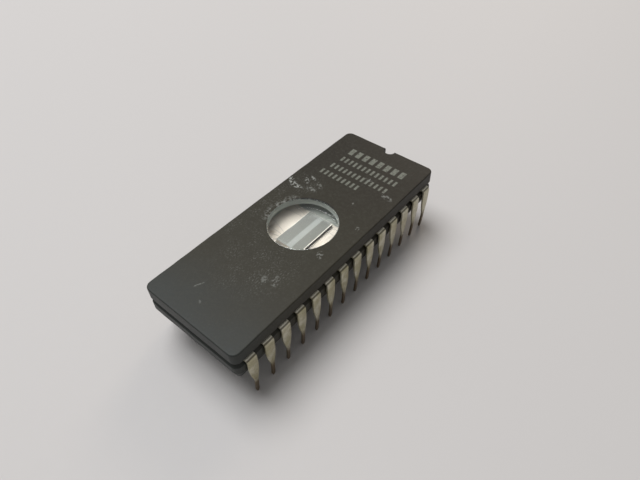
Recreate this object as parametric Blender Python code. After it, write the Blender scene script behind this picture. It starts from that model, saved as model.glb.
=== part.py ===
"""A windowed ceramic dual-in-line chip with 28 leads, as it stands on its lead tips.

Frame: origin on the table under the middle of the body, +X along the body towards the notched end,
+Z up. Units are metres. The body is two pressed ceramic halves sealed together by glass, with the
stamped lead frame in the glass, and a die in the cavity between them under a round window.
"""

import math

import bmesh
import bpy
from mathutils import Vector

MM = 0.001

# Body: two ceramic halves around a glass seam, all one outline
BODY_END = 1.89 * MM  # from the middle of the last lead to the end of the body
BODY_WIDTH = 14.35 * MM
BODY_CORNER = 0.88 * MM
STAND_HEIGHT = 4.1 * MM  # underside of the base above the lead tips
BASE_THICKNESS = 2.6 * MM
SEAM_THICKNESS = 0.45 * MM
CAP_THICKNESS = 1.8 * MM
SEAM_INSET = 0.3 * MM  # both halves draw in to the seam
CAP_SKIRT = 0.2 * MM  # height of the cap's drawn-in lower edge
CAP_BEVEL = 0.15 * MM
BASE_SHOULDER = 0.2 * MM  # height of the base's drawn-in upper edge
BASE_FOOT_INSET = 0.45 * MM
BASE_FOOT_HEIGHT = 1.3 * MM
CORNER_STEPS = 6

# Window, and the cavity that reaches past it all round
WINDOW_DIAMETER = 8.8 * MM
WINDOW_CENTRE_X = -0.15 * MM
WINDOW_CENTRE_Y = -0.1 * MM
LENS_SUNK = 0.03 * MM  # lens face below the cap's face
LENS_EDGE = 0.06 * MM
ROUND_STEPS = 64
CAVITY_SIDE_MARGIN = 0.8 * MM  # from the window's edge to the cavity's long side
CAVITY_END_MARGIN = 0.9 * MM
CAVITY_CORNER = 1.0 * MM
CAVITY_DEPTH = 0.42 * MM  # into the base
CAP_RECESS = 0.35 * MM  # into the cap, over the wires
NOTCH_RADIUS = 0.75 * MM
NOTCH_SETBACK = 0.1 * MM  # centre of the notch in from the end of the cap
NOTCH_CENTRE_Y = -0.1 * MM
NOTCH_STEPS = 32

# Die and the metallised floor that it is bonded to
DIE_LENGTH = 6.2 * MM
DIE_WIDTH = 3.8 * MM
DIE_THICKNESS = 0.4 * MM
DIE_CENTRE_Y = -0.15 * MM
FLOOR_THICKNESS = 0.05 * MM
FLOOR_MARGIN = 0.3 * MM  # bare ceramic round the metallised floor
BOND_PAD_INSET = 0.15 * MM
BOND_PAD_PITCH = 0.4 * MM

# Leads
LEADS_PER_SIDE = 14
PITCH = 2.54 * MM
LEG_CLEARANCE = 0.125 * MM  # from the body's side to the leg
LEAD_THICKNESS = 0.25 * MM
BEND_RADIUS = 0.2 * MM  # inside of the shoulder bend
SHOULDER_WIDTH = 1.32 * MM
PIN_WIDTH = 0.46 * MM
TAPER_TOP = 5.5 * MM  # above the tips
TAPER_BOTTOM = 2.7 * MM
PIN_LEAN = math.radians(4.8)  # pins turn in below the taper
LEAN_LENGTH = 0.6 * MM
TIP_POINT = 0.35 * MM
TIP_WIDTH = 0.26 * MM

# Inner fingers, in the glass
FINGER_WIDTH = 0.5 * MM
FINGER_TIP_WIDTH = 0.36 * MM
ROOT_RUN = 0.35 * MM  # the shoulder narrows to the finger within this of the seam
NECK_RUN = 0.25 * MM  # straight stretch between the root and the slant
FINGER_RUN = 0.35 * MM  # last straight stretch, square to the cavity
SIDE_FINGERS = 3  # of each quarter, the ones that end at the long side of the cavity
FINGER_MARGIN = 0.2 * MM  # left at the cavity's corners, past the outermost finger's share
BARE_TIP = 0.45 * MM  # glass and cap stop this far short of the cavity

# Bond wires
WIRE_DIAMETER = 0.032 * MM
WIRE_FOOT = 0.3 * MM  # from the finger's tip to where the wire ends
WIRE_SINK = 0.06 * MM  # the end's depth in the finger
WIRE_RISE = 0.35 * MM
WIRE_SIDES = 5
WIRE_STEPS = 6

FUSED_GAP = 0.02 * MM  # between pieces that are fused, bonded or embedded

BODY_LENGTH = (LEADS_PER_SIDE - 1) * PITCH + 2 * BODY_END
ROW_OUTSIDE = BODY_WIDTH + 2 * (LEG_CLEARANCE + LEAD_THICKNESS)
CAVITY_LENGTH = WINDOW_DIAMETER + 2 * CAVITY_END_MARGIN
CAVITY_WIDTH = WINDOW_DIAMETER + 2 * CAVITY_SIDE_MARGIN
END_FINGERS = LEADS_PER_SIDE // 2 - SIDE_FINGERS
SIDE_FINGER_PITCH = (CAVITY_LENGTH / 2 - FINGER_MARGIN) / SIDE_FINGERS
END_FINGER_PITCH = (CAVITY_WIDTH / 2 - FINGER_MARGIN) / END_FINGERS
BASE_TOP = STAND_HEIGHT + BASE_THICKNESS
CAP_BOTTOM = BASE_TOP + SEAM_THICKNESS
TOP = CAP_BOTTOM + CAP_THICKNESS
LEAD_PLANE = BASE_TOP + SEAM_THICKNESS / 2
CAVITY_FLOOR = BASE_TOP - CAVITY_DEPTH
FLOOR_TOP = CAVITY_FLOOR + FUSED_GAP + FLOOR_THICKNESS
DIE_BOTTOM = FLOOR_TOP + FUSED_GAP
DIE_TOP = DIE_BOTTOM + DIE_THICKNESS
SEAM_EDGE = BODY_WIDTH / 2 - SEAM_INSET


def clear_scene():
    for obj in list(bpy.data.objects):
        bpy.data.objects.remove(obj, do_unlink=True)


def finish(name, colour, roughness, metallic=0.0, alpha=1.0):
    """A Principled material."""
    material = bpy.data.materials.new(name)
    material.use_nodes = True
    shader = material.node_tree.nodes["Principled BSDF"]
    shader.inputs["Base Color"].default_value = (*colour, 1.0)
    shader.inputs["Roughness"].default_value = roughness
    shader.inputs["Metallic"].default_value = metallic
    shader.inputs["Alpha"].default_value = alpha
    return material


def add_object(name, mesh, material=None, smooth_angle=None):
    obj = bpy.data.objects.new(name, mesh)
    bpy.context.scene.collection.objects.link(obj)
    if material:
        mesh.materials.append(material)
    if smooth_angle:
        mesh.shade_smooth()
        mesh.set_sharp_from_angle(angle=smooth_angle)
    return obj


def as_cutter(obj):
    obj.hide_render = True
    obj.display_type = "WIRE"
    return obj


def boolean(obj, other, operation="DIFFERENCE"):
    modifier = obj.modifiers.new(f"{operation.lower()} {other.name}", "BOOLEAN")
    modifier.operation = operation
    modifier.object = other
    modifier.solver = "EXACT"


def rounded_rectangle(length, width, corner):
    """Points round a rectangle with arcs at its corners, anticlockwise from the +X side."""
    points = []
    for quarter in range(4):
        turn = quarter * math.pi / 2
        sign_x = 1 if quarter in (0, 3) else -1
        sign_y = 1 if quarter in (0, 1) else -1
        centre = Vector((sign_x * (length / 2 - corner), sign_y * (width / 2 - corner)))
        for step in range(CORNER_STEPS + 1):
            angle = turn + step * math.pi / 2 / CORNER_STEPS
            points.append(centre + corner * Vector((math.cos(angle), math.sin(angle))))
    return points


def loft(name, rings):
    """A closed mesh through rings of as many points each, listed from the bottom up."""
    mesh = bpy.data.meshes.new(name)
    bm = bmesh.new()
    levels = [[bm.verts.new(point) for point in ring] for ring in rings]
    count = len(levels[0])
    bm.faces.new(reversed(levels[0]))
    bm.faces.new(levels[-1])
    for lower, upper in zip(levels, levels[1:]):
        for i in range(count):
            j = (i + 1) % count
            bm.faces.new((lower[i], lower[j], upper[j], upper[i]))
    bm.to_mesh(mesh)
    bm.free()
    return mesh


def plate(name, length, width, corner, sections):
    """A rounded plate whose outline draws in by a given inset at each height."""
    rings = []
    for height, inset in sections:
        outline = rounded_rectangle(
            length - 2 * inset, width - 2 * inset, max(corner - inset, corner / 4)
        )
        rings.append([(x, y, height) for x, y in outline])
    return loft(name, rings)


def disc(name, radius, bottom, top, steps, centre_x=0.0, centre_y=0.0, edge=0.0):
    """A round disc, its two rims bevelled by an edge where one is given."""
    levels = [(bottom, radius), (top, radius)]
    if edge:
        levels = [
            (bottom, radius - edge),
            (bottom + edge, radius),
            (top - edge, radius),
            (top, radius - edge),
        ]
    rings = []
    for height, size in levels:
        turns = (2 * math.pi * step / steps for step in range(steps))
        rings.append(
            [(centre_x + size * math.cos(a), centre_y + size * math.sin(a), height) for a in turns]
        )
    return loft(name, rings)


def cavity_cutter(name, bottom, top, wider=0.0):
    """The cavity's outline, moved out by a distance where one is given."""
    sections = [(bottom, -wider), (top, -wider)]
    mesh = plate(name, CAVITY_LENGTH, CAVITY_WIDTH, CAVITY_CORNER, sections)
    return as_cutter(add_object(name, mesh))


def make_base(material):
    """The lower half: a pressed tray with a shallow cavity for the die."""
    sections = [
        (STAND_HEIGHT, BASE_FOOT_INSET),
        (STAND_HEIGHT + BASE_FOOT_HEIGHT, 0.0),
        (BASE_TOP - BASE_SHOULDER, 0.0),
        (BASE_TOP, SEAM_INSET),
    ]
    mesh = plate("ceramic_base", BODY_LENGTH, BODY_WIDTH, BODY_CORNER, sections)
    base = add_object("ceramic_base", mesh, material, math.radians(20))
    boolean(base, cavity_cutter("base_cavity_cutter", CAVITY_FLOOR, CAP_BOTTOM))


def make_cap(material):
    """The upper half, with the bore for the lens, a recess over the wires and the end notch."""
    sections = [
        (CAP_BOTTOM, SEAM_INSET),
        (CAP_BOTTOM + CAP_SKIRT, 0.0),
        (TOP - CAP_BEVEL, 0.0),
        (TOP, CAP_BEVEL),
    ]
    mesh = plate("ceramic_cap", BODY_LENGTH, BODY_WIDTH, BODY_CORNER, sections)
    cap = add_object("ceramic_cap", mesh, material, math.radians(20))
    recess = cavity_cutter("cap_recess_cutter", BASE_TOP, CAP_BOTTOM + CAP_RECESS, BARE_TIP)
    boolean(cap, recess)
    bore = disc(
        "window_bore_cutter",
        WINDOW_DIAMETER / 2,
        BASE_TOP,
        TOP + CAP_THICKNESS,
        ROUND_STEPS,
        WINDOW_CENTRE_X,
        WINDOW_CENTRE_Y,
    )
    boolean(cap, as_cutter(add_object("window_bore_cutter", bore)))
    boolean(cap, notch_cutter())


def notch_cutter():
    """A slot with a round end, let into the +X end of the cap through its thickness."""
    centre = BODY_LENGTH / 2 - NOTCH_SETBACK
    half_turn = [
        math.pi / 2 + math.pi * step / (NOTCH_STEPS // 2) for step in range(NOTCH_STEPS // 2 + 1)
    ]
    outline = [
        (centre + NOTCH_RADIUS * math.cos(a), NOTCH_RADIUS * math.sin(a)) for a in half_turn
    ]
    beyond = BODY_LENGTH / 2 + NOTCH_RADIUS
    outline += [(beyond, -NOTCH_RADIUS), (beyond, NOTCH_RADIUS)]
    rings = [
        [(x, y + NOTCH_CENTRE_Y, height) for x, y in outline]
        for height in (BASE_TOP, TOP + CAP_THICKNESS)
    ]
    return as_cutter(add_object("notch_cutter", loft("notch_cutter", rings)))


def make_lens(material):
    """The window: a disc fused into the bore, its underside level with the cap's recess."""
    mesh = disc(
        "window_lens",
        WINDOW_DIAMETER / 2 - FUSED_GAP,
        CAP_BOTTOM + CAP_RECESS,
        TOP - LENS_SUNK,
        ROUND_STEPS,
        WINDOW_CENTRE_X,
        WINDOW_CENTRE_Y,
        LENS_EDGE,
    )
    add_object("window_lens", mesh, material, math.radians(20))


def make_die(die_material, floor_material):
    """The die on the cavity's metallised floor."""
    floor_sections = [(CAVITY_FLOOR + FUSED_GAP, 0.0), (FLOOR_TOP, 0.0)]
    floor_mesh = plate(
        "cavity_floor",
        CAVITY_LENGTH - 2 * FLOOR_MARGIN,
        CAVITY_WIDTH - 2 * FLOOR_MARGIN,
        CAVITY_CORNER - FLOOR_MARGIN,
        floor_sections,
    )
    add_object("cavity_floor", floor_mesh, floor_material)
    half_x, half_y = DIE_LENGTH / 2, DIE_WIDTH / 2
    corners = [(half_x, -half_y), (half_x, half_y), (-half_x, half_y), (-half_x, -half_y)]
    rings = [[(x, y + DIE_CENTRE_Y, z) for x, y in corners] for z in (DIE_BOTTOM, DIE_TOP)]
    add_object("die", loft("die", rings), die_material)


class Fold:
    """The lead's side view: a line of straights and bends that the flat strip is folded along.

    Distance along it is zero where the shoulder bend starts, negative inside the body. Each stretch
    is a length and the angle that the strip turns down through over that length.
    """

    def __init__(self):
        middle = BEND_RADIUS + LEAD_THICKNESS / 2
        self.start = ROW_OUTSIDE / 2 - LEAD_THICKNESS / 2 - middle
        bend = middle * math.pi / 2
        leg = LEAD_PLANE - middle - TAPER_BOTTOM
        lean = LEAN_LENGTH
        drop = middle_drop(lean, PIN_LEAN)
        corner = LEAD_THICKNESS / 2 * math.sin(PIN_LEAN)  # the tip's lower corner touches the table
        pin = (TAPER_BOTTOM - drop - corner) / math.cos(PIN_LEAN)
        self.stretches = [(bend, math.pi / 2), (leg, 0.0), (lean, PIN_LEAN), (pin, 0.0)]
        self.taper_bottom = bend + leg
        self.length = bend + leg + lean + pin

    def at(self, distance):
        """Where the middle of the strip's thickness is there: y, z and how far it has turned down."""
        y, z, turned = self.start, LEAD_PLANE, 0.0
        if distance <= 0:
            return y + distance, z, turned
        for length, turn in self.stretches:
            run = min(distance, length)
            part = turn * run / length
            chord = run if not part else run * math.sin(part / 2) / (part / 2)
            heading = turned + part / 2
            y += chord * math.cos(heading)
            z -= chord * math.sin(heading)
            turned += part
            distance -= run
            if distance <= 0:
                break
        return y, z, turned


def middle_drop(length, turn):
    """How far down a vertical strip gets over a length in which it turns by an angle."""
    return length * math.sin(turn) / turn


def spoon(share):
    """From 0 to 1 with a level start and a steep end, a quarter of a cosine wave."""
    return 1 - math.cos(math.pi / 2 * share)


def finger_tip(column, rank):
    """Where a lead's finger ends and which way it points from there: x, y, and a unit outward vector.

    Rank counts from the middle of the row outwards. The first few fingers end along the side of
    the cavity, and the rest along its end.
    """
    side = 1 if column > 0 else -1
    if rank < SIDE_FINGERS:
        x = (rank + 0.5) * SIDE_FINGER_PITCH
        return Vector((side * x, CAVITY_WIDTH / 2 + FUSED_GAP)), Vector((0, 1))
    y = (LEADS_PER_SIDE / 2 - rank - 0.5) * END_FINGER_PITCH
    return Vector((side * (CAVITY_LENGTH / 2 + FUSED_GAP), y)), Vector((side, 0))


def inner_route(column, rank):
    """Centre points of the finger from its tip to the seam, each with the strip's width there.

    The straights and the strip are limited by the wall, so that half of it is left for the slant.
    """
    tip, outward = finger_tip(column, rank)
    limit = (SEAM_EDGE - CAVITY_WIDTH / 2) / 6
    width = min(FINGER_WIDTH, 2 * limit)
    root = SEAM_EDGE - min(ROOT_RUN, limit)
    return [
        (tip, min(FINGER_TIP_WIDTH, width)),
        (tip + outward * min(FINGER_RUN, limit), width),
        (Vector((column, root - min(NECK_RUN, limit))), width),
        (Vector((column, root)), width),
        (Vector((column, SEAM_EDGE)), SHOULDER_WIDTH),
    ]


def strip_edges(route):
    """Left and right edge points of a strip, mitred at each turn of its centre line."""
    edges = []
    for i, (point, width) in enumerate(route):
        before = (point - route[i - 1][0]).normalized() if i else None
        after = (route[i + 1][0] - point).normalized() if i + 1 < len(route) else None
        along = ((before or after) + (after or before)).normalized()
        across = Vector((-along.y, along.x))
        mitre = width / 2 / along.dot(after or before)
        edges.append((point + across * mitre, point - across * mitre))
    return edges


def grown(edges, extra):
    """The strip's outline moved out by a distance, each corner along the mitre of its two sides."""
    outline = [left for left, _ in edges] + [right for _, right in reversed(edges)]
    moved = []
    for i, point in enumerate(outline):
        before = (point - outline[i - 1]).normalized()
        after = (outline[(i + 1) % len(outline)] - point).normalized()
        normals = Vector((-before.y, before.x)), Vector((-after.y, after.x))
        moved.append(point + extra * (normals[0] + normals[1]) / (1 + normals[0].dot(normals[1])))
    count = len(edges)
    return list(zip(moved[:count], reversed(moved[count:])))


def outer_stations(fold):
    """Distances along the fold past the seam, each with the strip's width there."""
    bend = fold.stretches[0][0]
    drop = TAPER_TOP - TAPER_BOTTOM
    stations = [(bend * step / 5, SHOULDER_WIDTH) for step in range(6)]
    for step in range(6):
        share = step / 5
        distance = fold.taper_bottom - drop * (1 - share)
        stations.append((distance, SHOULDER_WIDTH + (PIN_WIDTH - SHOULDER_WIDTH) * spoon(share)))
    for step in (1, 2):
        stations.append((fold.taper_bottom + LEAN_LENGTH * step / 2, PIN_WIDTH))
    stations.append((fold.length - TIP_POINT, PIN_WIDTH))
    stations.append((fold.length, TIP_WIDTH))
    return stations


def lead_mesh(name, column, rank, fold, extra=0.0, last=None):
    """One formed lead, on the +Y side.

    The strip's flat outline is folded along the side view and given its thickness across it.
    With extra, the strip is that much fatter all round and ends at the distance last.
    """
    outer = outer_stations(fold) if last is None else [(last, SHOULDER_WIDTH)]
    pattern = strip_edges(inner_route(column, rank))
    for distance, width in outer:
        y = fold.start + distance
        pattern.append((Vector((column - width / 2, y)), Vector((column + width / 2, y))))
    rings = []
    for left, right in grown(pattern, extra) if extra else pattern:
        ring = []
        for point, thick in ((left, 1), (right, 1), (right, -1), (left, -1)):
            y, z, turned = fold.at(point.y - fold.start)
            normal = Vector((0, math.sin(turned), math.cos(turned)))
            ring.append(Vector((point.x, y, z)) + normal * thick * (LEAD_THICKNESS / 2 + extra))
        rings.append(ring)
    return loft(name, rings)


def bond_pad(column, rank, row):
    """Middle of the die's pad for a lead, in the frame of its own row."""
    side = 1 if column > 0 else -1
    edge_x = DIE_LENGTH / 2 - BOND_PAD_INSET
    edge_y = DIE_WIDTH / 2 - BOND_PAD_INSET
    centre_y = row * DIE_CENTRE_Y
    if rank < SIDE_FINGERS:
        return Vector((side * (edge_x - (SIDE_FINGERS - rank) * BOND_PAD_PITCH), edge_y + centre_y))
    y = (LEADS_PER_SIDE / 2 - rank - 0.5) * BOND_PAD_PITCH
    return Vector((side * edge_x, y + centre_y))


def wire_mesh(name, column, rank, row):
    """A bond wire: an arch from the die's pad that comes down into the finger."""
    tip, outward = finger_tip(column, rank)
    pad = bond_pad(column, rank, row)
    landing = tip + outward * WIRE_FOOT
    low = DIE_TOP + FUSED_GAP + WIRE_DIAMETER / 2
    high = LEAD_PLANE + LEAD_THICKNESS / 2 - WIRE_SINK
    middle = []
    for step in range(WIRE_STEPS + 1):
        share = step / WIRE_STEPS
        flat = pad.lerp(landing, share)
        arch = 4 * WIRE_RISE * share * (1 - share)
        middle.append(Vector((flat.x, flat.y, low + (high - low) * share + arch)))
    rings = []
    for i, point in enumerate(middle):
        ahead = middle[min(i + 1, WIRE_STEPS)] - middle[max(i - 1, 0)]
        across = Vector((ahead.y, -ahead.x, 0)).normalized()
        upward = across.cross(ahead).normalized()
        ring = []
        for step in range(WIRE_SIDES):
            angle = 2 * math.pi * step / WIRE_SIDES + math.pi / 2
            spoke = math.cos(angle) * across - math.sin(angle) * upward
            ring.append(point + WIRE_DIAMETER / 2 * spoke)
        rings.append(ring)
    return loft(name, rings)


def columns():
    """Each lead's place along its row, with its rank from the middle outwards."""
    for index in range(LEADS_PER_SIDE):
        column = (index - (LEADS_PER_SIDE - 1) / 2) * PITCH
        yield index, column, int(abs(index - (LEADS_PER_SIDE - 1) / 2))


def make_leads(material):
    """28 leads with their wires. Pin 1 is at the notched end on the +Y side, and 28 faces it."""
    fold = Fold()
    for row, turn in ((1, 0.0), (-1, math.pi)):
        for index, column, rank in columns():
            number = LEADS_PER_SIDE - index if row > 0 else 2 * LEADS_PER_SIDE - index
            name = f"lead_{number:02d}"
            lead = add_object(name, lead_mesh(name, column, rank, fold), material)
            wire_name = f"bond_wire_{number:02d}"
            wire = as_cutter(add_object(wire_name, wire_mesh(wire_name, column, rank, row)))
            for piece in (lead, wire):
                piece.rotation_euler.z = turn
            boolean(lead, wire, "UNION")


def slot_cutter(fold):
    """Slots in the glass for all the leads, as one cutter of separate strips."""
    bm = bmesh.new()
    beyond = SEAM_EDGE + SEAM_INSET / 2 - fold.start
    for turn in (0.0, math.pi):
        for _, column, rank in columns():
            strip = lead_mesh("slot", column, rank, fold, FUSED_GAP, beyond)
            first = len(bm.verts)
            bm.from_mesh(strip)
            bm.verts.ensure_lookup_table()
            for vert in bm.verts[first:]:
                if turn:
                    vert.co.x, vert.co.y = -vert.co.x, -vert.co.y
            bpy.data.meshes.remove(strip)
    mesh = bpy.data.meshes.new("slot_cutter")
    bm.to_mesh(mesh)
    bm.free()
    return as_cutter(add_object("slot_cutter", mesh))


def make_seal(material):
    """The sealing glass: a frame round the cavity with a slot for each lead."""
    bottom, top = BASE_TOP + FUSED_GAP, CAP_BOTTOM - FUSED_GAP
    mesh = plate(
        "seal_glass",
        BODY_LENGTH - 2 * SEAM_INSET,
        BODY_WIDTH - 2 * SEAM_INSET,
        BODY_CORNER - SEAM_INSET,
        [(bottom, 0.0), (top, 0.0)],
    )
    seal = add_object("seal_glass", mesh, material)
    low, high = BASE_TOP - SEAM_THICKNESS, CAP_BOTTOM + SEAM_THICKNESS
    boolean(seal, cavity_cutter("seal_opening_cutter", low, high, BARE_TIP))
    boolean(seal, slot_cutter(Fold()))


def main():
    clear_scene()
    ceramic = finish("dark ceramic", (0.055, 0.057, 0.049), 0.6)
    glass_seal = finish("sealing glass", (0.03, 0.03, 0.027), 0.35)
    quartz = finish("window glass", (0.9, 0.93, 0.92), 0.05, alpha=0.25)
    silicon = finish("silicon", (0.3, 0.31, 0.28), 0.3, metallic=0.6)
    gilding = finish("metallised floor", (0.62, 0.56, 0.47), 0.3, metallic=0.9)
    tin = finish("tinned lead", (0.42, 0.39, 0.31), 0.42, metallic=0.9)
    make_base(ceramic)
    make_cap(ceramic)
    make_lens(quartz)
    make_seal(glass_seal)
    make_die(silicon, gilding)
    make_leads(tin)


main()
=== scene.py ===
"""Looks of a windowed ceramic memory chip.

It stands on its lead tips and is seen from above its near corner.
"""

import math

import bpy
import numpy as np
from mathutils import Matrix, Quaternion, Vector


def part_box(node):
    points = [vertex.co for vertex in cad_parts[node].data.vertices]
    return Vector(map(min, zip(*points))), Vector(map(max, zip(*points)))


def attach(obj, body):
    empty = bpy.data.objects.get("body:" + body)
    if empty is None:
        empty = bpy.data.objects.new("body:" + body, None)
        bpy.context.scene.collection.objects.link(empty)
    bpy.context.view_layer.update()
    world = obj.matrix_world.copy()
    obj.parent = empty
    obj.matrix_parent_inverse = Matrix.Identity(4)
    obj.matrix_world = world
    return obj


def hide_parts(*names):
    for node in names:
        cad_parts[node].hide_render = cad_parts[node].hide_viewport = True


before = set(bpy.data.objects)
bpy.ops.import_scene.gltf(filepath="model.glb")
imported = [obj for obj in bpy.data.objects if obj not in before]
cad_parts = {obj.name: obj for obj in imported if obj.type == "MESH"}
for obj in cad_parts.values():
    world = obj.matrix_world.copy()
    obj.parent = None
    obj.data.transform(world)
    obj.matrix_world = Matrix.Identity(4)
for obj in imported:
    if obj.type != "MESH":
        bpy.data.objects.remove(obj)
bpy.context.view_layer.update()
MM = 0.001

# Ceramic base
# The lower half of the body is a tray of dark alumina, pressed as powder and fired. It draws in at
# its foot and at the seam, and a shallow pocket in its top holds the die.
base_low, base_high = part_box("ceramic_base")
body_x, body_y = base_high.x, base_high.y
BODY_CORNER = 0.88 * MM
SEAM_INSET = 0.3 * MM
SHOULDER_HEIGHT = 0.2 * MM
FOOT_INSET = 0.45 * MM
FOOT_HEIGHT = 1.3 * MM
EDGE_ROUND = 0.07 * MM
POCKET_HALF_X = 5.3 * MM
POCKET_HALF_Y = 5.2 * MM
POCKET_CORNER = 1.0 * MM
POCKET_DEPTH = 0.42 * MM
LEAST_CORNER = 0.15 * MM
UNEVEN = 0.012 * MM
CERAMIC = (48, 45, 34)
CERAMIC_BROWN = (34, 30, 22)
CERAMIC_COOL_REFLECTION = (49, 54, 53)
CERAMIC_PALE = (76, 75, 67)
CERAMIC_GLOSS = 0.22
DUST = (158, 160, 154)
# Pale grey-green glaze; inside the cavity it is also painted fill light that lightens the shade
GLAZE_AND_FILL_LIGHT = (176, 182, 175)


def colour(red, green, blue):
    """A screen colour, from 0 to 255, as the linear values that shaders take."""

    def linear(share):
        return share / 12.92 if share <= 0.04045 else ((share + 0.055) / 1.055) ** 2.4

    return (*(linear(c / 255) for c in (red, green, blue)), 1.0)


class Socket:
    """An output socket of one node. Arithmetic on it adds a Math node."""

    def __init__(self, nodes, socket):
        self.nodes, self.socket = nodes, socket

    def maths(self, operation, *values):
        return self.nodes.node("Math", {"operation": operation}, dict(enumerate(values)))

    def __add__(self, other):
        return self.maths("ADD", self, other)

    def __sub__(self, other):
        return self.maths("SUBTRACT", self, other)

    def __rsub__(self, other):
        return self.maths("SUBTRACT", other, self)

    def __mul__(self, other):
        return self.maths("MULTIPLY", self, other)

    def __truediv__(self, other):
        return self.maths("DIVIDE", self, other)

    def __pow__(self, other):
        return self.maths("POWER", self, other)

    def __abs__(self):
        return self.maths("ABSOLUTE", self)

    __radd__ = __add__
    __rmul__ = __mul__

    def floor(self):
        return self.maths("FLOOR", self)

    def least(self, other):
        return self.maths("MINIMUM", self, other)

    def ramp(self, low, high):
        """From 0 at low to 1 at high with soft ends; low may be above high."""
        sockets = {"Value": self, "From Min": low, "From Max": high}
        return self.nodes.node("MapRange", {"interpolation_type": "SMOOTHSTEP"}, sockets)

    def other(self, name):
        """Another output of the same node."""
        return Socket(self.nodes, self.socket.node.outputs[name])


class Nodes:
    """The nodes of a material or a world."""

    def __init__(self, owner):
        owner.use_nodes = True
        owner.node_tree.nodes.clear()
        self.owner, self.tree = owner, owner.node_tree

    def node(self, kind, settings=None, sockets=None, output=0):
        """Adds a node of one type: first its settings, then its sockets' values or links."""
        made = self.tree.nodes.new("ShaderNode" + kind)
        for name, value in (settings or {}).items():
            setattr(made, name, value)
        for name, value in (sockets or {}).items():
            if isinstance(value, Socket):
                self.tree.links.new(value.socket, made.inputs[name])
            else:
                made.inputs[name].default_value = value
        return Socket(self, made.outputs[output]) if made.outputs else made

    def end(self, shader, kind="OutputMaterial"):
        """Links the shader to a new output node, and gives the material or world."""
        self.node(kind, {}, {"Surface": shader})
        return self.owner


class Finish(Nodes):
    """A material in the making. Its place is the piece's own, in millimetres."""

    def __init__(self, name):
        super().__init__(bpy.data.materials.new(name))
        raw = self.node("TexCoord", output="Object")
        self.place = self.node("VectorMath", {"operation": "SCALE"}, {0: raw, "Scale": 1 / MM})
        self.x = self.node("SeparateXYZ", {}, {0: self.place}, "X")
        self.y, self.z = self.x.other("Y"), self.x.other("Z")

    def noise(self, size, detail=2.0, stretch=(1.0, 1.0, 1.0), seed=0.0):
        """Cloudy noise about 0.5 whose features are about a size in millimetres."""
        scaled = self.node("VectorMath", {"operation": "MULTIPLY"}, {0: self.place, 1: stretch})
        sockets = {"Vector": scaled, "W": seed, "Scale": 1 / size, "Detail": detail}
        return self.node("TexNoise", {"noise_dimensions": "4D"}, sockets)

    def mix(self, factor, first, second):
        """A blend of two colours."""
        return self.node("Mix", {"data_type": "RGBA"}, {0: factor, 6: first, 7: second}, 2)

    def bump(self, height, strength, distance):
        """Relief from a height socket; the distance is what a height of 1 stands for."""
        sockets = {"Height": height, "Strength": strength, "Distance": distance}
        return self.node("Bump", {}, sockets)

    def spot(self, x, y, long, wide, turn=0.0):
        """1 in an ellipse on the XY plane, falling softly to 0 at its edge. Turned in degrees."""
        c, s = math.cos(math.radians(turn)), math.sin(math.radians(turn))
        along = ((self.x - x) * c + (self.y - y) * s) / long
        across = ((self.y - y) * c - (self.x - x) * s) / wide
        return (along * along + across * across).ramp(1.0, 0.1)

    def shade(self, **sockets):
        """Ends the material in one Principled shader; underscores in names stand for spaces."""
        named = {name.replace("_", " "): value for name, value in sockets.items()}
        return self.end(self.node("BsdfPrincipled", {}, named))


def ripple(points, size, seed):
    """Smooth noise from about -1 to 1 at points: a sum of sine waves in random directions.

    Each is sin(k . p + phase), with a wavelength between 0.6 and 1.6 of the size.
    """
    count, longest, shortest, spread = 14, 1.6, 0.6, 4
    pick = np.random.default_rng(seed)
    heading = pick.normal(size=(count, 3))
    heading /= np.linalg.norm(heading, axis=1, keepdims=True)
    waves = heading * (2 * np.pi / (size * pick.uniform(shortest, longest, (count, 1))))
    phases = pick.uniform(0, 2 * np.pi, count)
    return np.sin(points @ waves.T + phases).sum(axis=-1) / spread


def outline(half_x, half_y, corner, bite=None):
    """Points round a rectangle with arcs at its corners, as columns of x and y, anticlockwise.

    A side is a line of even steps and a corner is centre + corner * (cos a, sin a). A bite is a
    circle (centre x, centre y, radius) cut out of the +X side, its arc walked the other way round.
    """
    along, up, around = 170, 34, 32
    turn = np.linspace(0, np.pi / 2, 11)[:-1]
    flat_x, flat_y = half_x - corner, half_y - corner

    def line(start, end, steps):
        return np.array(start) + np.subtract(end, start) * np.linspace(0, 1, steps + 1)[:-1, None]

    def arc(x, y, quarter):
        angle = turn + quarter * np.pi / 2
        return np.stack([x + corner * np.cos(angle), y + corner * np.sin(angle)], 1)

    right = [line((half_x, -flat_y), (half_x, flat_y), 2 * up + around)]
    if bite:
        x, y, radius = bite
        opening = math.acos((half_x - x) / radius)
        reach = radius * math.sin(opening)
        angle = np.linspace(-opening, opening - 2 * np.pi, around + 1)[:-1]
        right = [
            line((half_x, -flat_y), (half_x, y - reach), up),
            np.stack([x + radius * np.cos(angle), y + radius * np.sin(angle)], 1),
            line((half_x, y + reach), (half_x, flat_y), up),
        ]
    return np.concatenate(
        [
            *right,
            arc(flat_x, flat_y, 0),
            line((flat_x, half_y), (-flat_x, half_y), along),
            arc(-flat_x, flat_y, 1),
            line((-half_x, flat_y), (-half_x, -flat_y), 2 * up),
            arc(-flat_x, -flat_y, 2),
            line((-flat_x, -half_y), (flat_x, -half_y), along),
            arc(flat_x, -flat_y, 3),
        ]
    )


def at_height(ring, z):
    """A ring of x and y as a ring of points at one height."""
    return np.column_stack([ring, np.full(len(ring), z)])


def stack(levels, half_x, half_y, corner, bite=None):
    """Rings of a rounded outline drawn in by each level's inset, at its height.

    The bite's circle grows with the inset, up to the last of its four values.
    """
    rings = []
    for inset, z in levels:
        cut = bite and (bite[0], bite[1], bite[2] + min(max(inset, 0.0), bite[3]))
        left = max(corner - inset, LEAST_CORNER)
        rings.append(at_height(outline(half_x - inset, half_y - inset, left, cut), z))
    return rings


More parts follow.
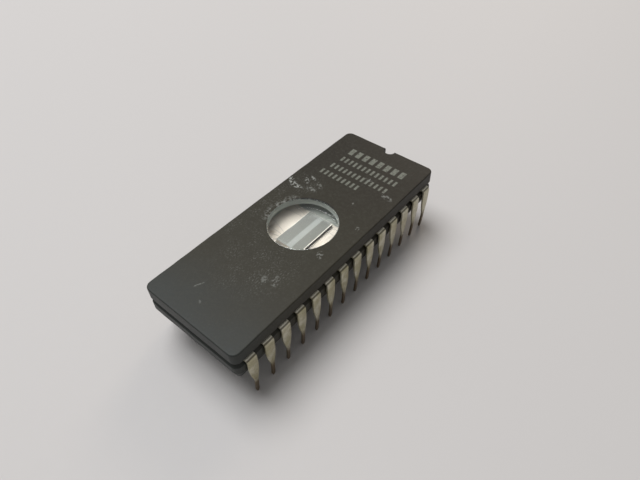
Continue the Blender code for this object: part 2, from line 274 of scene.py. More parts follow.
def profile_round(inset, z, radius, start, end, steps=4):
    """Pairs of inset and height round an edge: centre + radius * (cos a, sin a), a in degrees."""
    angle = np.radians(np.linspace(start, end, steps + 1))
    return list(zip(inset + radius * np.cos(angle), z + radius * np.sin(angle)))


def shrunk(ring, share):
    """A ring drawn in to its middle by a share."""
    middle = ring.mean(0)
    return middle + (ring - middle) * [1 - share, 1 - share, 1]


def skin(name, shells, materials, dress=None, closed=False, sharp=35):
    """A mesh of closed shells, each through a list of rings that have as many points each.

    A shell is a grid of rows and columns. The columns join up. The rows join up too if closed, and
    otherwise each end is drawn to the mean of its ring. The sign of a shell's volume turns its
    faces outwards. Dress gives each shell one material's number for each row of faces.
    """
    points, shown, numbers = [], [], []
    for shell, rings in enumerate(shells):
        rows, columns, base = len(rings), len(rings[0]), sum(map(len, points))
        column = np.arange(columns)
        row = np.arange(rows if closed else rows - 1)[:, None]
        here, right = row * columns + column, row * columns + (column + 1) % columns
        above = columns * ((row + 1) % rows - row)
        faces = np.stack([here, right, right + above, here + above], -1).reshape(-1, 4)
        grid = np.concatenate(rings)
        worn = dress[shell] if dress else [0] * len(row)
        numbers += np.repeat(worn, columns).tolist()
        if not closed:
            last, after = (rows - 1) * columns, (column + 1) % columns
            pole = np.full(columns, len(grid))
            fans = [[after, column, pole, pole], [last + column, last + after, pole + 1, pole + 1]]
            faces = np.concatenate([faces, *[np.stack(fan, 1) for fan in fans]])
            grid = np.concatenate([grid, [rings[0].mean(0), rings[-1].mean(0)]])
            numbers += [worn[0]] * columns + [worn[-1]] * columns
        a, b, c, d = grid[faces].transpose(1, 0, 2)
        volume = (a * np.cross(b, c) + a * np.cross(c, d)).sum()
        turned = (faces if volume > 0 else faces[:, ::-1]) + base
        shown += [list(dict.fromkeys(face)) for face in turned.tolist()]
        points.append(grid)
    mesh = bpy.data.meshes.new(name)
    mesh.from_pydata(np.concatenate(points).tolist(), [], shown)
    for material in materials:
        mesh.materials.append(material)
    mesh.polygons.foreach_set("material_index", numbers)
    mesh.shade_smooth()
    mesh.set_sharp_from_angle(angle=math.radians(sharp))
    piece = bpy.data.objects.new(name, mesh)
    bpy.context.scene.collection.objects.link(piece)
    return piece


def dressed(piece, node):
    """Fixes a finished piece to the part in place of a node of the CAD."""
    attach(piece, "root")
    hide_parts(node)


def ceramic_look(finish):
    """Colour, roughness, relief and specks of the alumina, with a painted cool reflection towards
    -X, and browner to +X.
    """
    fine = finish.noise(0.4, 3.0, seed=2.0)
    grain = finish.noise(0.1, 2.0, seed=3.0)
    broad = finish.noise(5.0, 2.0, seed=1.0) * 6.0
    place = finish.x + broad
    # Painted reflection: the base colour turns cool towards -X, where the sky would be mirrored.
    base = finish.mix(place.ramp(-6.0, -20.0), colour(*CERAMIC), colour(*CERAMIC_COOL_REFLECTION))
    base = finish.mix(place.ramp(0.0, 18.0), base, colour(*CERAMIC_BROWN))
    base = finish.mix(fine.ramp(0.35, 0.95) * 0.3, base, colour(*CERAMIC_PALE))
    specks = grain.ramp(0.66, 0.8) * fine.ramp(0.45, 0.7)
    return base, 0.4 + fine * 0.16, finish.bump(grain * 0.6 + fine, 0.3, 0.025 * MM), specks


def tray_material():
    finish = Finish("fired_alumina_base")
    base, roughness, relief, specks = ceramic_look(finish)
    base = finish.mix(specks * 0.25, base, colour(*DUST))
    # Painted fill light: the pocket's walls take the pale glaze colour, which lightens their
    # shade.
    inside = abs(finish.x).ramp(POCKET_HALF_X / MM + 0.02, POCKET_HALF_X / MM)
    inside = inside * abs(finish.y).ramp(POCKET_HALF_Y / MM + 0.02, POCKET_HALF_Y / MM)
    pocket = inside * finish.z.ramp(base_high.z / MM - 0.6, base_high.z / MM - 0.5)
    base = finish.mix(pocket, base, colour(*GLAZE_AND_FILL_LIGHT))
    return finish.shade(
        Base_Color=base, Roughness=roughness, Normal=relief, Specular_IOR_Level=CERAMIC_GLOSS
    )


def make_base():
    top, foot = base_high.z, base_low.z
    floor = top - POCKET_DEPTH
    levels = [
        (SEAM_INSET + EDGE_ROUND, top),
        *profile_round(SEAM_INSET + EDGE_ROUND, top - EDGE_ROUND, EDGE_ROUND, 90, 150),
        *profile_round(EDGE_ROUND, top - SHOULDER_HEIGHT - EDGE_ROUND, EDGE_ROUND, 135, 180),
        (0.0, top - SHOULDER_HEIGHT - 0.2 * MM),
        (0.0, foot + FOOT_HEIGHT + 0.15 * MM),
        *profile_round(EDGE_ROUND, foot + FOOT_HEIGHT, EDGE_ROUND, 180, 200),
        *profile_round(FOOT_INSET + EDGE_ROUND, foot + EDGE_ROUND, EDGE_ROUND, 200, 270),
        (FOOT_INSET + 0.5 * MM, foot),
    ]
    side = np.array(stack(levels, body_x, body_y, BODY_CORNER))
    side = list(side + ripple(side, 3.0 * MM, 4)[..., None] * [UNEVEN, UNEVEN, 0])
    pocket = [(0.0, floor), (0.0, top - 0.03 * MM), (-0.03 * MM, top)]
    wall = stack(pocket, POCKET_HALF_X, POCKET_HALF_Y, POCKET_CORNER)
    rings = [shrunk(wall[0], share) for share in (0.9, 0.5, 0.05)] + wall + side
    rings += [shrunk(side[-1], share) for share in (0.3, 0.6, 0.9)]
    return skin("pressed_base", [rings], [tray_material()])


dressed(make_base(), "ceramic_base")

# Metallised floor and die
# The pocket's floor is a fired metal film, warm white and slightly dull, with painted shade in
# grey-green over its +X end and a painted brown shade on its +Y side. The die is a sawn slab of
# polished silicon bonded to it, with two grey cell arrays and a paler strip of drivers between
# them, a painted highlight along its -Y edge and half its +Y edge, and a painted reflection on its
# -X side.
die_low, die_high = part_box("die")
FLOOR_BRIGHT = (202, 194, 181)
FLOOR_STAIN_AND_SHADE = (148, 136, 116)
FLOOR_PAINTED_SHADE = (146, 152, 144)
ARRAY_FAR = (112, 114, 108)
ARRAY_NEAR = (106, 108, 101)
DRIVERS = (143, 147, 142)
DIE_EDGE_HIGHLIGHT = (214, 209, 198)
SAWN_PAINTED_REFLECTION = (205, 200, 190)
SAWN_DARK = (48, 42, 34)
DRIVER_WIDTH = 0.78
DRIVER_PLACE = -0.09
HIGHLIGHT_NEAR_WIDTH = 0.12
HIGHLIGHT_FAR_WIDTH = 0.09
PAINTED_SHADE_X = (3.25, 3.6)
PAINTED_SHADE_Y = (-3.3, -2.9)


def floor_material():
    finish = Finish("cavity_metallising")
    stain = finish.noise(1.6, 3.0, seed=5.0)
    fine = finish.noise(0.12, 2.0, seed=6.0)
    stain_and_shade = stain.ramp(0.5, 0.75) * 0.4
    # Painted shade: a brown patch on the +Y side, mottled by the stain's noise.
    stain_and_shade = stain_and_shade + finish.spot(-1.6, 3.6, 1.6, 0.9, 20) * stain.ramp(0.35, 0.6) * 0.5
    base = finish.mix(stain_and_shade.least(0.8), colour(*FLOOR_BRIGHT), colour(*FLOOR_STAIN_AND_SHADE))
    # Painted shade: grey-green over the floor's +X end, beyond the die.
    grey_end_shade = finish.x.ramp(*PAINTED_SHADE_X) * finish.y.ramp(*PAINTED_SHADE_Y)
    base = finish.mix(grey_end_shade, base, colour(*FLOOR_PAINTED_SHADE))
    relief = finish.bump(fine, 0.2, 0.01 * MM)
    return finish.shade(Base_Color=base, Metallic=0.2, Roughness=0.5 + stain * 0.1, Normal=relief)


def die_material():
    finish = Finish("polished_die")
    half_x, half_y = (die_high.x - die_low.x) / 2 / MM, (die_high.y - die_low.y) / 2 / MM
    across = finish.y - (die_high.y + die_low.y) / 2 / MM
    rows = finish.node("TexWave", {"bands_direction": "X"}, {"Vector": finish.place, "Scale": 6.0})
    bits = finish.node("TexWave", {"bands_direction": "Y"}, {"Vector": finish.place, "Scale": 8.0})
    cells = finish.mix(across.ramp(-0.1, 0.1), colour(*ARRAY_NEAR), colour(*ARRAY_FAR))
    cells = finish.mix(rows * bits * 0.12, cells, colour(*DRIVERS))
    strip = abs(across - DRIVER_PLACE).ramp(DRIVER_WIDTH / 2 + 0.1, DRIVER_WIDTH / 2 - 0.1)
    ends = abs(finish.x).ramp(half_x - 0.3, half_x - 0.2) * 0.35
    base = finish.mix(strip + ends * (1 - strip), cells, colour(*DRIVERS))
    # Painted highlight: a bright line along the -Y edge and the +X half of the +Y edge.
    near = (across + half_y).ramp(HIGHLIGHT_NEAR_WIDTH + 0.02, HIGHLIGHT_NEAR_WIDTH - 0.02)
    far = (half_y - across).ramp(HIGHLIGHT_FAR_WIDTH + 0.02, HIGHLIGHT_FAR_WIDTH - 0.02) * finish.x.ramp(-1.6, 0.4)
    base = finish.mix((near + far).least(1.0), base, colour(*DIE_EDGE_HIGHLIGHT))
    # Painted reflection: the -X sawn side is pale, as if mirroring the bright floor; the other
    # sides keep dark silicon.
    to_side = finish.x.ramp(-half_x + 0.01, -half_x + 0.03)
    sawn = finish.mix(to_side, colour(*SAWN_PAINTED_REFLECTION), colour(*SAWN_DARK))
    top = finish.z.ramp(die_high.z / MM - 0.02, die_high.z / MM - 0.005)
    return finish.shade(Base_Color=finish.mix(top, sawn, base), Metallic=0.1, Roughness=0.36)


for node, material in (("cavity_floor", floor_material()), ("die", die_material())):
    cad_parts[node].data.materials.clear()
    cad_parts[node].data.materials.append(material)

# Lead frame
# Each lead is stamped from iron-nickel strip and tin coated, then formed down over the body's
# side: a wide shoulder, a spoon-shaped taper and a pin. Inside, its finger runs to the cavity and
# an aluminium wire joins it to the die. The tin has a painted highlight over the bend's crest, a
# painted shade line under it and painted shade darkening the pins.
seal_low, seal_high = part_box("seal_glass")
lead_plane = (seal_low.z + seal_high.z) / 2
LEADS_PER_SIDE = 14
PITCH = 2.54 * MM
STRIP = 0.25 * MM
STRIP_ROUND = 0.045 * MM
BEND_MIDDLE = 0.325 * MM
FOLD_START = 7.1 * MM
SHOULDER = 1.32 * MM
PIN = 0.46 * MM
TAPER_TOP = 5.5 * MM
TAPER_BOTTOM = 2.7 * MM
LEAN = math.radians(4.8)
LEAN_LENGTH = 0.6 * MM
TIP_POINT = 0.35 * MM
TIP_WIDTH = 0.26 * MM
SEAM_EDGE = 6.875 * MM
FINGER_TIP_GAP = 0.02 * MM
FINGER_WIDTH = 0.5 * MM
FINGER_TIP_WIDTH = 0.36 * MM
FINGER_STEP = 0.27 * MM
SIDE_FINGERS = 3
SIDE_FINGER_PITCH = 1.7 * MM
END_FINGER_PITCH = 1.25 * MM
WIRE_RADIUS = 0.016 * MM
WIRE_LIFT = 0.036 * MM
WIRE_SINK = 0.06 * MM
WIRE_FOOT = 0.3 * MM
WIRE_RISE = 0.35 * MM
PAD_INSET = 0.15 * MM
PAD_PITCH = 0.4 * MM
TIN = (176, 169, 138)
TIN_PALE = (210, 205, 186)
TIN_STAIN = (112, 98, 66)
TIN_PAINTED_SHADE = (92, 74, 54)
BEND_PAINTED_SHADE = (52, 44, 34)
BEND_LINE = 6.95
PAINTED_SHADE_FADE = (4.1, 2.4)
BEND_PAINTED_HIGHLIGHT = (236, 232, 218)
ALUMINIUM = (150, 150, 147)


def tin_material():
    finish = Finish("dull_tin")
    broad = finish.noise(1.3, 3.0, seed=7.0)
    fine = finish.noise(0.16, 3.0, seed=8.0)
    base = finish.mix(broad.ramp(0.42, 0.7), colour(*TIN), colour(*TIN_PALE))
    base = finish.mix(finish.x.ramp(4.0, 18.0) * 0.5, base, colour(*TIN_PALE))
    base = finish.mix(fine.ramp(0.52, 0.75) * 0.55, base, colour(*TIN_STAIN))
    # Painted shade: the pins turn dark brown towards their tips, at a height that wanders with the
    # noise.
    low = (finish.z + broad * 1.2).ramp(*PAINTED_SHADE_FADE)
    base = finish.mix(low * 0.9, base, colour(*TIN_PAINTED_SHADE))
    outside = abs(finish.y).ramp(FOLD_START / MM + 0.2, FOLD_START / MM + 0.25)
    # Painted highlight over the strip's top and bend crest, and painted shade in a line under it
    # on the outside.
    crest_highlight = finish.z.ramp(BEND_LINE + 0.04, BEND_LINE + 0.07)
    base = finish.mix(crest_highlight * 0.7, base, colour(*BEND_PAINTED_HIGHLIGHT))
    crease_shade = abs(finish.z - BEND_LINE + 0.02).ramp(0.1, 0.05) * outside
    base = finish.mix(crease_shade * 0.7, base, colour(*BEND_PAINTED_SHADE))
    relief = finish.bump(fine + broad * 2, 0.35, 0.02 * MM)
    return finish.shade(Base_Color=base, Metallic=0.55, Roughness=0.34 + fine * 0.2, Normal=relief)


def wire_material():
    aluminium = colour(*ALUMINIUM)
    return Finish("aluminium_wire").shade(Base_Color=aluminium, Metallic=0.6, Roughness=0.6)


def folded():
    """The strip's side view: distances past the fold's start, with y, z and the angle turned down.

    The heading turns down by 90 degrees through the shoulder bend and by the lean below the taper,
    each at an even rate. The place is the running sum of its cosine and sine.
    """
    bend = BEND_MIDDLE * math.pi / 2
    taper_end = bend + lead_plane - BEND_MIDDLE - TAPER_BOTTOM
    down, step = math.pi / 2, 0.005 * MM
    distance = np.arange(0, taper_end + 1.1 * TAPER_BOTTOM, step)
    corners = [0, bend, taper_end, taper_end + LEAN_LENGTH]
    turned = np.interp(distance, corners, [0, down, down, down + LEAN])
    y = FOLD_START + np.cumsum(np.cos(turned)) * step
    z = lead_plane - np.cumsum(np.sin(turned)) * step
    length = np.interp(-STRIP / 2 * math.sin(LEAN), -z, distance)
    return distance, (y, z, turned), bend, taper_end, length


fold_distance, fold_values, bend_end, taper_end, strip_length = folded()


def outer_width(distance):
    """The strip's width: a quarter cosine from the shoulder to the pin, then a line to the tip."""
    drop = TAPER_TOP - TAPER_BOTTOM
    share = np.clip((distance - taper_end) / drop + 1, 0, 1)
    point = np.clip((strip_length - distance) / TIP_POINT, 0, 1)
    return PIN + (SHOULDER - PIN) * np.cos(math.pi / 2 * share) - (PIN - TIP_WIDTH) * (1 - point)


def section(width):
    """Across and up of points round the strip's section, with three on each corner's arc."""
    quarter = np.radians([0, 45, 90])
    points = []
    for number, (right, upper) in enumerate(((1, 1), (-1, 1), (-1, -1), (1, -1))):
        angle = quarter + number * math.pi / 2
        across = right * (width / 2 - STRIP_ROUND) + STRIP_ROUND * np.cos(angle)
        up = upper * (STRIP / 2 - STRIP_ROUND) + STRIP_ROUND * np.sin(angle)
        points.append(np.stack([across, up], 1))
    return np.concatenate(points)


def finger_tip(side, rank):
    """Where a lead's finger ends and which way it points, for a side of X and a rank outwards."""
    if rank < SIDE_FINGERS:
        x = side * (rank + 0.5) * SIDE_FINGER_PITCH
        return np.array([x, POCKET_HALF_Y + FINGER_TIP_GAP]), np.array([0.0, 1.0])
    y = (LEADS_PER_SIDE / 2 - rank - 0.5) * END_FINGER_PITCH
    return np.array([side * (POCKET_HALF_X + FINGER_TIP_GAP), y]), np.array([float(side), 0.0])


def strip_rings(column, tip, outward):
    """Rings along one lead of the +Y row, from its finger's tip to its pin's tip."""
    route = [
        (tip, FINGER_TIP_WIDTH),
        (tip + outward * FINGER_STEP, FINGER_WIDTH),
        (np.array([column, SEAM_EDGE - 2 * FINGER_STEP]), FINGER_WIDTH),
        (np.array([column, SEAM_EDGE - FINGER_STEP]), FINGER_WIDTH),
        (np.array([column, SEAM_EDGE]), SHOULDER),
    ]
    steps = np.diff([point for point, _ in route], axis=0)
    steps /= np.linalg.norm(steps, axis=1, keepdims=True)
    rings = []
    for number, (point, width) in enumerate(route):
        before, after = steps[max(number - 1, 0)], steps[min(number, len(steps) - 1)]
        along = (before + after) / np.linalg.norm(before + after)
        across = np.array([-along[1], along[0], 0.0]) / (along @ after)
        flat = section(width)
        rings.append([*point, lead_plane] + flat[:, :1] * across + flat[:, 1:] * [0, 0, 1])
    places = np.concatenate(
        [
            np.linspace(0, bend_end, 13),
            np.linspace(bend_end, taper_end, 40)[1:],
            np.linspace(taper_end, strip_length - TIP_POINT, 14)[1:],
            strip_length - TIP_POINT * np.array([0.7, 0.4, 0.15, 0.0]),
        ]
    )
    sides = [np.interp(places, fold_distance, values) for values in fold_values]
    for y, z, turned, width in zip(*sides, outer_width(places)):
        flat = section(width)
        normal = [0, math.sin(turned), math.cos(turned)]
        rings.append([column, y, z] - flat[:, :1] * [1, 0, 0] + flat[:, 1:] * normal)
    return rings


def wire_rings(tip, outward, side, rank, row):
    """Rings along one bond wire: a straight line in plan, raised by 4 * rise * s * (1 - s)."""
    edge_x, edge_y = die_high.x - PAD_INSET, (die_high.y - die_low.y) / 2 - PAD_INSET
    pad = np.array([side * edge_x, (LEADS_PER_SIDE / 2 - rank - 0.5) * PAD_PITCH])
    if rank < SIDE_FINGERS:
        pad = np.array([side * (edge_x - (SIDE_FINGERS - rank) * PAD_PITCH), edge_y])
    pad = pad + [0, row * (die_high.y + die_low.y) / 2]
    landing = tip + outward * WIRE_FOOT
    low, high = die_high.z + WIRE_LIFT, lead_plane + STRIP / 2 - WIRE_SINK
    share = np.linspace(0, 1, 17)[:, None]
    z = low + (high - low) * share + 4 * WIRE_RISE * share * (1 - share)
    middle = np.hstack([pad + (landing - pad) * share, z])
    ahead = np.gradient(middle, axis=0)
    across = np.cross(ahead, [0, 0, 1])
    across /= np.linalg.norm(across, axis=1, keepdims=True)
    upward = np.cross(across, ahead)
    upward /= np.linalg.norm(upward, axis=1, keepdims=True)
    angle = np.linspace(0, 2 * np.pi, 9)[:-1, None]
    spokes = zip(middle, across, upward)
    return [m + WIRE_RADIUS * (np.cos(angle) * a + np.sin(angle) * u) for m, a, u in spokes]


tin, aluminium = tin_material(), wire_material()
for row, last_number in ((1, LEADS_PER_SIDE), (-1, 2 * LEADS_PER_SIDE)):
    for index in range(LEADS_PER_SIDE):
        column = (index - (LEADS_PER_SIDE - 1) / 2) * PITCH
        side = 1 if column > 0 else -1
        rank = int(abs(column) / PITCH)
        tip, outward = finger_tip(side, rank)
        shells = strip_rings(column, tip, outward), wire_rings(tip, outward, side, rank, row)
        shells = [[ring * [row, row, 1] for ring in rings] for rings in shells]
        dress = [[number] * (len(rings) - 1) for number, rings in enumerate(shells)]
        name = f"lead_{last_number - index:02d}"
        dressed(skin("formed_" + name, shells, [tin, aluminium], dress), name)

# Sealing glass
# Dark glass frit, printed on both halves and melted round the lead frame. It shows as a dull
# bead a little inside the two halves' edges.
SEAL_COLOUR = (20, 17, 14)
SEAL_PALE = (44, 40, 34)


def seal_material():
    finish = Finish("sealing_frit")
    fine = finish.noise(0.3, 3.0, seed=9.0)
    base = finish.mix(fine.ramp(0.5, 0.85) * 0.35, colour(*SEAL_COLOUR), colour(*SEAL_PALE))
    relief = finish.bump(fine, 0.3, 0.02 * MM)
    dull = 0.4 + fine * 0.2
    return finish.shade(Base_Color=base, Roughness=dull, Normal=relief, Specular_IOR_Level=0.35)


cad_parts["seal_glass"].data.materials.clear()
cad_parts["seal_glass"].data.materials.append(seal_material())

# Ceramic cap
# The upper half of the body, of the same alumina. It has a round bore for the window, a notch in
# the end with pin 1, four rows of pale print beside it, and dust and scuffs from handling.
cap_low, cap_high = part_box("ceramic_cap")
lens_low, lens_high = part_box("window_lens")
window_x, window_y = (lens_low.x + lens_high.x) / 2, (lens_low.y + lens_high.y) / 2
BORE_GAP = 0.02 * MM
bore = (lens_high.x - lens_low.x) / 2 + BORE_GAP
CAP_SKIRT = 0.2 * MM
CAP_BEVEL = 0.15 * MM
RIM_ROUND = 0.05 * MM
RECESS_MARGIN = 0.45 * MM
recess_x, recess_y = POCKET_HALF_X + RECESS_MARGIN, POCKET_HALF_Y + RECESS_MARGIN
NOTCH_RADIUS = 0.75 * MM
NOTCH_SETBACK = 0.1 * MM
NOTCH_Y = -0.1 * MM
RIM_DARK = (22, 23, 22)
PRINT = (136, 139, 128)
PRINT_STRENGTH = 0.68
# Rows of print: X of the middle, height, Y of the two ends, pitch and the share that is filled
PRINT_ROWS = (
    (14.75, 1.35, -5.1, 4.34, 1.18, 0.6),
    (12.75, 1.0, -5.1, 4.26, 0.72, 0.46),
    (10.85, 0.95, -4.85, 4.51, 0.72, 0.46),
    (9.1, 0.95, -1.6, 4.88, 0.72, 0.46),
)
# Pale scuffs: X, Y, half length, half width, degrees turned from +X, strength
SCUFFS = (
    (5.0, 6.3, 0.9, 0.35, 60, 1.0),
    (4.6, 5.2, 0.8, 0.35, 100, 1.0),
    (6.3, 4.9, 0.8, 0.25, 50, 0.8),
    (7.1, 4.4, 0.6, 0.2, 70, 0.6),
    (6.4, 2.8, 0.7, 0.3, 60, 0.35),
    (5.2, 3.1, 0.8, 0.35, 90, 0.4),
    (3.2, -5.85, 0.35, 0.2, 20, 1.0),
    (9.9, -5.4, 0.9, 0.35, 80, 0.5),
    (11.4, -1.5, 0.5, 0.3, 80, 0.5),
    (-2.8, -5.05, 0.55, 0.35, 30, 0.6),
    (-8.8, -3.7, 0.8, 0.4, 30, 0.35),
    (-9.4, -2.6, 0.6, 0.35, 50, 0.3),
    (-14.5, 2.6, 0.8, 0.09, -24, 0.3),
    (-15.9, 0.6, 0.35, 0.12, 60, 0.22),
    (6.3, -2.7, 0.3, 0.15, 0, 0.5),
)


def print_mask(finish):
    """Rows of plain blocks, each row cut off at its two ends."""
    total = 0.0
    for place, height, start, end, pitch, filled in PRINT_ROWS:
        column = (finish.y - start) / pitch
        share = column - column.floor()
        block = abs(share - 0.5).ramp(filled / 2 + 0.06, filled / 2 - 0.06)
        row = abs(finish.x - place).ramp(height / 2 + 0.05, height / 2 - 0.05)
        within = finish.y.ramp(start - 0.03, start + 0.03) * finish.y.ramp(end + 0.03, end - 0.03)
        total = block * row * within + total
    return total


def cap_material():
    finish = Finish("fired_alumina_cap")
    base, roughness, relief, specks = ceramic_look(finish)
    face = finish.z.ramp(cap_high.z / MM - 0.06, cap_high.z / MM - 0.01)
    broken = finish.noise(0.3, 4.0, seed=10.0)
    streaked = finish.noise(0.16, 4.0, (0.6, 1.0, 1.0), 12.0)
    dusty = finish.spot(-7.5, 0.0, 7.5, 6.0, 15) * 0.8 + finish.spot(-1.5, 6.2, 8.0, 1.2) * 0.8
    dusty = (dusty + finish.spot(6.0, 4.5, 3.2, 2.6) + 0.12).least(1.0)
    patchy = finish.noise(1.6, 2.0, seed=16.0).ramp(0.4, 0.62) * 0.75 + 0.25
    dusty = dusty * patchy
    flecks = streaked.ramp(0.48, 0.75) * dusty * 0.3 + specks * dusty * 0.25
    base = finish.mix((flecks + specks * 0.15) * face, base, colour(*DUST))
    print_wear = finish.noise(0.25, 3.0, seed=13.0).ramp(0.2, 0.55) * face * PRINT_STRENGTH
    base = finish.mix(print_mask(finish) * print_wear, base, colour(*PRINT))
    scuffs = 0.0
    for x, y, long, wide, turn, strength in SCUFFS:
        scuffs = finish.spot(x, y, long * 1.3, wide * 1.4, turn) * strength + scuffs
    base = finish.mix(scuffs.least(1.0) * broken.ramp(0.46, 0.6) * face, base, colour(*DUST))
    from_x, from_y = finish.x - window_x / MM, finish.y - window_y / MM
    past = (from_x * from_x + from_y * from_y) ** 0.5 - bore / MM
    bearing = from_y.maths("ARCTAN2", from_y, from_x)
    grimy = bearing.ramp(0.7, 1.0) * bearing.ramp(2.3, 1.9) * past.ramp(1.2, 0.1)
    base = finish.mix(grimy * broken.ramp(0.45, 0.65) * 0.6 * face, base, colour(*DUST))
    base = finish.mix(past.ramp(0.03, 0.015), base, colour(*GLAZE_AND_FILL_LIGHT))
    cracked = bearing.ramp(-0.4, -0.2) * bearing.ramp(1.25, 0.9) * past.ramp(0.27, 0.2)
    cracked = cracked * finish.z.ramp(cap_high.z / MM - 0.2, cap_high.z / MM - 0.1)
    base = finish.mix(cracked * streaked.ramp(0.42, 0.52), base, colour(*RIM_DARK))
    # Painted fill light: the recess ceiling takes the pale glaze colour, which lightens its shade.
    under = finish.z.ramp(lens_low.z / MM + 0.03, lens_low.z / MM + 0.01)
    recess = abs(finish.x).ramp(recess_x / MM + 0.02, recess_x / MM)
    recess = recess * abs(finish.y).ramp(recess_y / MM + 0.02, recess_y / MM)
    base = finish.mix(under * recess, base, colour(*GLAZE_AND_FILL_LIGHT))
    return finish.shade(
        Base_Color=base, Roughness=roughness, Normal=relief, Specular_IOR_Level=CERAMIC_GLOSS
    )


def make_cap():
    top, bottom, ceiling = cap_high.z, cap_low.z, lens_low.z
    bite = (body_x - NOTCH_SETBACK, NOTCH_Y, NOTCH_RADIUS, CAP_BEVEL)
    levels = [
        (CAP_BEVEL + 0.12 * MM, top),
        *profile_round(CAP_BEVEL, top - CAP_BEVEL, CAP_BEVEL, 90, 180, 6),
        (0.0, top - CAP_BEVEL - 0.15 * MM),
        (0.0, bottom + CAP_SKIRT + 0.15 * MM),
        *profile_round(EDGE_ROUND, bottom + CAP_SKIRT, EDGE_ROUND, 180, 225),
        *profile_round(SEAM_INSET + EDGE_ROUND, bottom + EDGE_ROUND, EDGE_ROUND, 225, 270),
        (SEAM_INSET + 0.4 * MM, bottom),
    ]
    side = np.array(stack(levels, body_x, body_y, BODY_CORNER, bite))
    side = list(side + ripple(side, 2.5 * MM, 5)[..., None] * [UNEVEN, UNEVEN, 0])
    bearing = np.arctan2(side[0][:, 1] - window_y, side[0][:, 0] - window_x)
    spokes = np.stack([np.cos(bearing), np.sin(bearing)], 1)

    def hole(radius, z):
        return at_height(np.array([window_x, window_y]) + radius * spokes, z)

    rim = hole(bore + RIM_ROUND + 0.15 * MM, top)
    quarter = profile_round(RIM_ROUND, top - RIM_ROUND, RIM_ROUND, 180, 90)
    rounded = [hole(bore + inset, z) for inset, z in quarter]
    face = [rim + (side[0] - rim) * share for share in (0.1, 0.3, 0.5, 0.7, 0.85, 0.95)]
    recess = outline(recess_x, recess_y, POCKET_CORNER + RECESS_MARGIN)
    rings = [hole(bore, ceiling), hole(bore, (ceiling + top) / 2), *rounded, rim, *face, *side]
    rings += [at_height(recess, bottom), at_height(recess, ceiling)]
    return skin("pressed_cap", [rings], [cap_material()], closed=True)


dressed(make_cap(), "ceramic_cap")

# Window lens
# A disc of clear fused glass, melted into the cap's bore and polished. Its face is almost level
# with the cap, and its rim shows the grey-green of the fused joint.
LENS_EDGE = 0.06 * MM
LENS_INDEX = 1.46
LENS_STEPS = 160
LENS_CLEAR = (0.97, 0.97, 0.965, 1.0)
LENS_SHADE = (0.95, 0.955, 0.95, 1.0)
FUSED_ROWS = range(5, 9)


def lens_material():
    """Clear glass for the eye. Lamps' rays pass straight through, so that they light the die."""
    finish = Finish("window_glass")
    smear = finish.noise(1.2, 3.0, seed=14.0)
    sockets = {
        "Base Color": LENS_CLEAR,
        "Roughness": 0.02 + smear.ramp(0.5, 0.8) * 0.05,
        "IOR": LENS_INDEX,
        "Transmission Weight": 1.0,
    }
    glass = finish.node("BsdfPrincipled", {}, sockets)
    clear = finish.node("BsdfTransparent", {}, {"Color": LENS_SHADE})
    lamp = finish.node("LightPath", output="Is Shadow Ray")
    return finish.end(finish.node("MixShader", {}, {0: lamp, 1: glass, 2: clear}))


def fused_material():
    return Finish("fused_joint").shade(Base_Color=colour(*GLAZE_AND_FILL_LIGHT), Roughness=0.6)


def make_lens():
    """A turned disc: each ring is the middle + radius * (cos a, sin a) at its height."""
    radius = bore - BORE_GAP
    angle = np.linspace(0, 2 * np.pi, LENS_STEPS + 1)[:-1]
    circle = np.stack([np.cos(angle), np.sin(angle)], 1)
    under = profile_round(LENS_EDGE, lens_low.z + LENS_EDGE, LENS_EDGE, 270, 180)
    over = profile_round(LENS_EDGE, lens_high.z - LENS_EDGE, LENS_EDGE, 180, 90)
    flat = [radius * share for share in (0.7, 0.3, 0.05)]
    levels = [(inset, lens_low.z) for inset in flat] + under + over
    levels += [(inset, lens_high.z) for inset in reversed(flat)]
    rings = [at_height([window_x, window_y] + (radius - inset) * circle, z) for inset, z in levels]
    dress = [[int(row in FUSED_ROWS) for row in range(len(rings) - 1)]]
    return skin("fused_window", [rings], [lens_material(), fused_material()], dress, sharp=50)


dressed(make_lens(), "window_lens")

# Table, camera and light
# A plain pale table top and the photograph's own viewpoint. A wide cool lamp hangs high up, a
# little to +Y, and a small warm one is to +X. The room is plain white, and is seen and mirrored
# brighter than it lights.
TABLE_HALF = 1.5
TABLE = (206, 203, 201)
LENS_MM = 28.616
SENSOR_MM = 36.0
NEAREST_SEEN = 2 * MM
CAMERA_PLACE = (-31.597, -30.747, 52.580)
CAMERA_AIM = (-0.9835, -3.5300, 8.95)
CAMERA_ROLL = math.radians(-2.156)
WORLD_LEVEL = 0.225
BACKDROP_LEVEL = 0.42
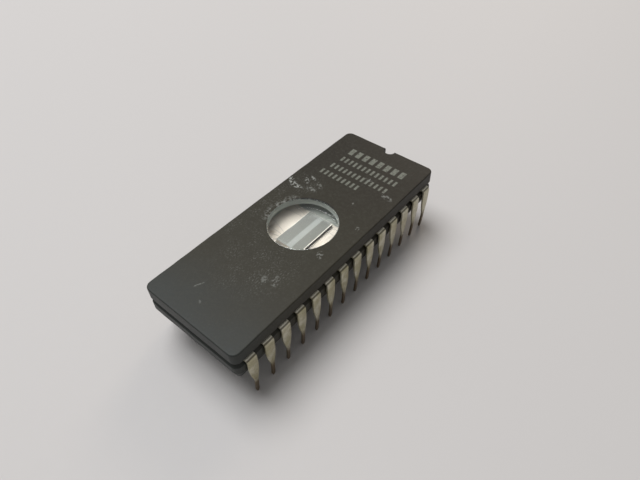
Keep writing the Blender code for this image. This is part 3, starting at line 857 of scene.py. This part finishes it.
# Lamps: name, direction, distance, size, power and colour
LAMPS = (
    ("window", (-0.02, 0.38, 0.92), 0.7, 0.5, 4.1, (0.97, 0.98, 1.0)),
    ("bulb", (0.80, 0.25, 0.55), 0.5, 0.2, 0.35, (1.0, 0.86, 0.70)),
)


def make_table():
    finish = Finish("pale_table")
    fine = finish.noise(1.5, 3.0, seed=15.0)
    mesh = bpy.data.meshes.new("table")
    corners = np.array([(-1, -1, 0), (1, -1, 0), (1, 1, 0), (-1, 1, 0)]) * TABLE_HALF
    mesh.from_pydata(corners.tolist(), [], [(0, 1, 2, 3)])
    mesh.materials.append(finish.shade(Base_Color=colour(*TABLE), Roughness=0.6 + fine * 0.1))
    table = bpy.data.objects.new("table", mesh)
    bpy.context.scene.collection.objects.link(table)


def aimed(thing, place, aim, roll=0.0):
    """Puts a lamp or camera at a place and looks at another, rolled about its own view."""
    placed = bpy.data.objects.new(thing.name, thing)
    placed.location = place
    placed.rotation_mode = "QUATERNION"
    look = (Vector(aim) - Vector(place)).to_track_quat("-Z", "Y")
    placed.rotation_quaternion = look @ Quaternion((0.0, 0.0, 1.0), roll)
    bpy.context.scene.collection.objects.link(placed)
    return placed


make_table()
camera = bpy.data.cameras.new("camera")
camera.lens = LENS_MM
camera.sensor_width = SENSOR_MM
camera.clip_start = NEAREST_SEEN
place, aim = Vector(CAMERA_PLACE) * MM, Vector(CAMERA_AIM) * MM
bpy.context.scene.camera = aimed(camera, place, aim, CAMERA_ROLL)
for name, direction, distance, size, power, tint in LAMPS:
    lamp = bpy.data.lights.new(name, "AREA")
    lamp.shape = "DISK"
    lamp.size = size
    lamp.energy = power
    lamp.color = tint
    aimed(lamp, Vector(direction).normalized() * distance, (0.0, 0.0, 0.0))
room = Nodes(bpy.data.worlds.new("room"))
seen = room.node("LightPath", output="Is Camera Ray")
seen = (seen + seen.other("Is Glossy Ray") + seen.other("Is Transmission Ray")).least(1.0)
level = WORLD_LEVEL + seen * (BACKDROP_LEVEL - WORLD_LEVEL)
white = room.node("Background", {}, {"Color": (1.0, 1.0, 1.0, 1.0), "Strength": level})
bpy.context.scene.world = room.end(white, "OutputWorld")
bpy.context.scene.view_settings.view_transform = "Standard"
